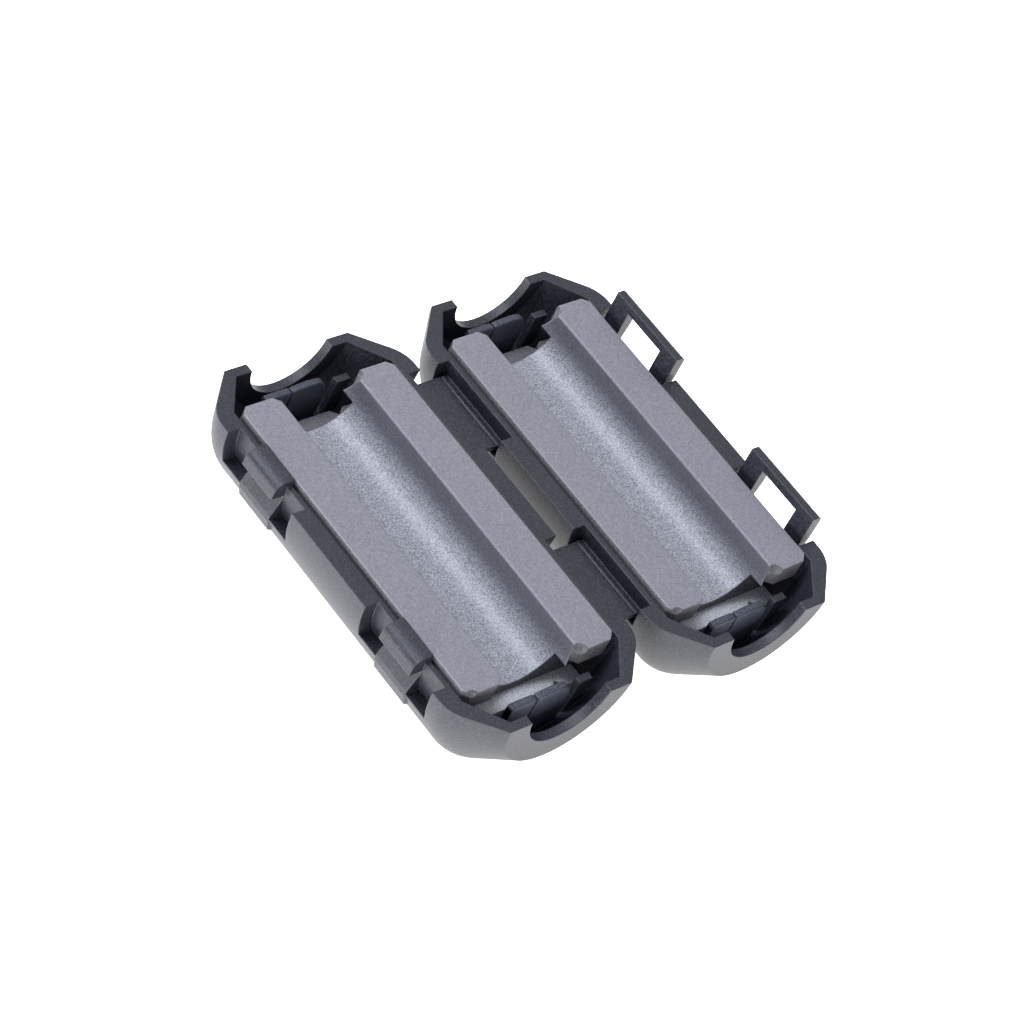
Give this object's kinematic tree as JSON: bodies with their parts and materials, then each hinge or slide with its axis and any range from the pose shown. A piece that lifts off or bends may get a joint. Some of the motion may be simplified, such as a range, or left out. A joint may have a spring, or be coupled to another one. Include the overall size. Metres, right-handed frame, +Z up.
{
  "type": "clip-on ferrite bead",
  "caption": "Hinged plastic case with ferrite half-cores inside, snapping shut round a cable to damp radio noise; shown open and flat.",
  "frame": {"origin": "middle of the footprint, on the surface the open case lies on, midway between the two hinge fold lines", "axes": "+Y along the cable grooves, +X from the base half with the catches to the lid half with the loops, +Z up out of the open case"},
  "size_m": [0.0478, 0.0438, 0.0135],
  "materials": {
    "case": "moulded satin black",
    "ferrite": "sintered, fine matt speckle"
  },
  "bodies": {
    "base_half": {"base_shell": "case", "base_core": "ferrite"},
    "straps": {"far_strap": "case", "near_strap": "case"},
    "lid_half": {"lid_shell": "case", "lid_core": "ferrite"},
    "far_latch": {"far_loop": "case"},
    "near_latch": {"near_loop": "case"}
  },
  "joints": [
    {"name": "base_fold", "type": "hinge", "parent": "base_half", "child": "straps", "pos_m": [-0.00215, 0, 0.00885], "axis": [0, -1, 0], "range_deg": [0, 90]},
    {"name": "lid_fold", "type": "hinge", "parent": "straps", "child": "lid_half", "pos_m": [0.00215, 0, 0.00885], "axis": [0, -1, 0], "range_deg": [0, 90]},
    {"name": "far_loop_flex", "type": "hinge", "parent": "lid_half", "child": "far_latch", "pos_m": [0.02295, 0.0105, 0.0081], "axis": [0, 1, 0], "range_deg": [0, 22], "stiffness_Nm_per_rad": 0.02},
    {"name": "near_loop_flex", "type": "hinge", "parent": "lid_half", "child": "near_latch", "pos_m": [0.02295, -0.0105, 0.0081], "axis": [0, 1, 0], "range_deg": [0, 22], "stiffness_Nm_per_rad": 0.02}
  ],
  "couplings": [
    {"joint": "base_fold", "follows": "lid_fold", "ratio": 1}
  ]
}
